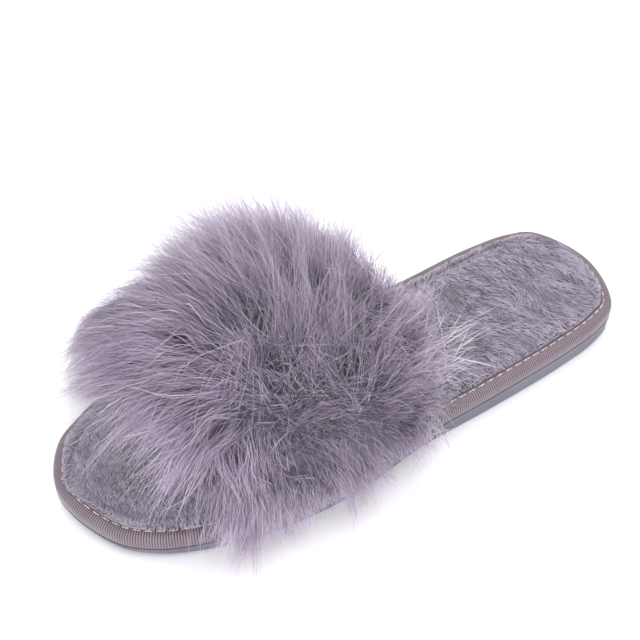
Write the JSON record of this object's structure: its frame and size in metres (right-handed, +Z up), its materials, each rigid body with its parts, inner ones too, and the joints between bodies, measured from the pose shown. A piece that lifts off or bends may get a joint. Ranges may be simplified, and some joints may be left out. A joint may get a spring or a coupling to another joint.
{
  "type": "plush slide slipper",
  "caption": "Left open-toe, open-heel house slipper: foam outsole, padded pile footbed bound with ribbed tape, and a wide strap under deep fur.",
  "frame": {"origin": "on the floor, half way along the sole, on its centre line", "axes": "+Y from the toe to the heel, +X to the outer (lateral) side, +Z up"},
  "size_m": [0.1418, 0.258, 0.1024],
  "materials": {
    "eva_foam": "moulded EVA foam, matt",
    "foam_core": "foam and fibre board, bare",
    "pile_fabric": "short plush pile, brushed",
    "ribbed_tape": "woven grosgrain tape with cross ribs",
    "strap_fabric": "knitted lining fabric",
    "fur": "long soft fur with fine tips"
  },
  "bodies": {
    "root": {"outsole": "eva_foam", "insole": "foam_core", "insole_plush": "pile_fabric", "binding": "ribbed_tape", "strap": "strap_fabric", "strap_fur": "fur"}
  },
  "joints": []
}
